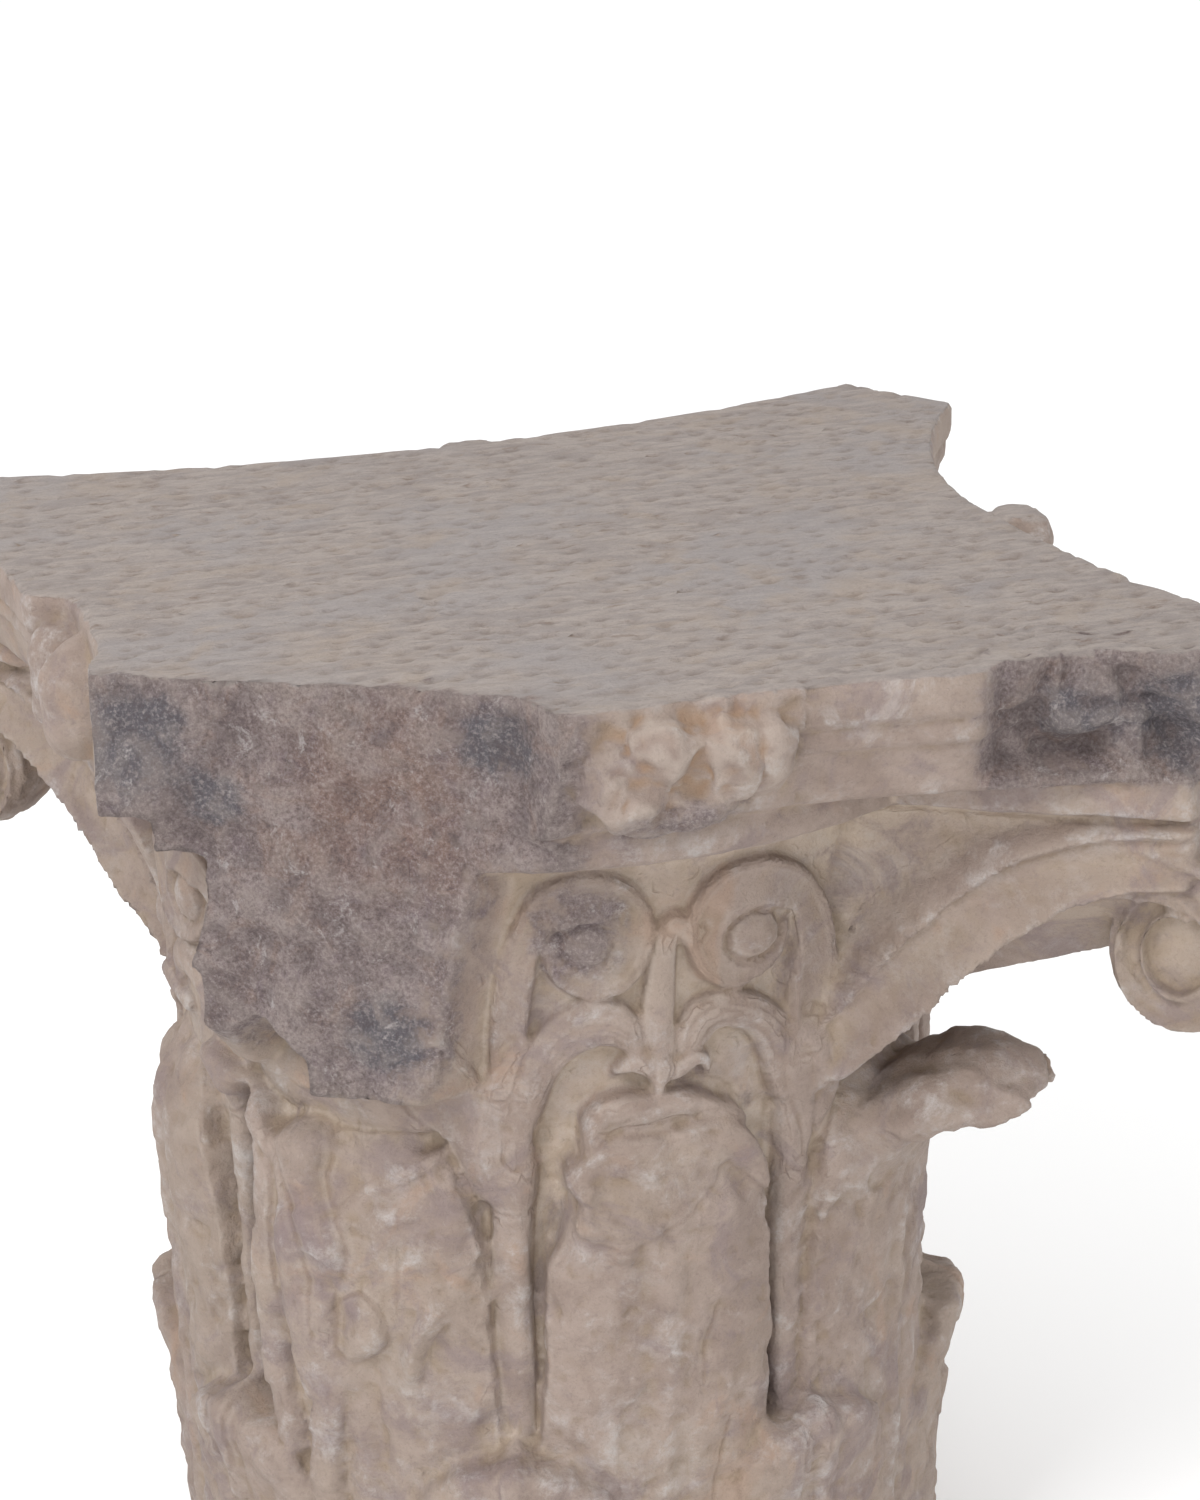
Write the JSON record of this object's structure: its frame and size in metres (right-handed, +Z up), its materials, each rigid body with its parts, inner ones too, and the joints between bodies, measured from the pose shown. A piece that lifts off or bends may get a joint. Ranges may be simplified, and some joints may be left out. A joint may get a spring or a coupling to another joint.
{
  "type": "column capital",
  "caption": "Weathered marble Corinthian capital with acanthus leaves, scrolls and a hollow-sided abacus that has lost one corner; it crowns a round column.",
  "frame": {"origin": "centre of the flat bottom bed, where the capital stands on its shaft", "axes": "+Z up along the column's axis, -Y out of the front face, so the broken corner is at -X -Y"},
  "size_m": [0.6783, 0.6549, 0.635],
  "materials": {
    "stone": "weathered marble, warm beige, with grey and mauve crust on the broken corner"
  },
  "bodies": {
    "root": {"capital": "stone"}
  },
  "joints": []
}
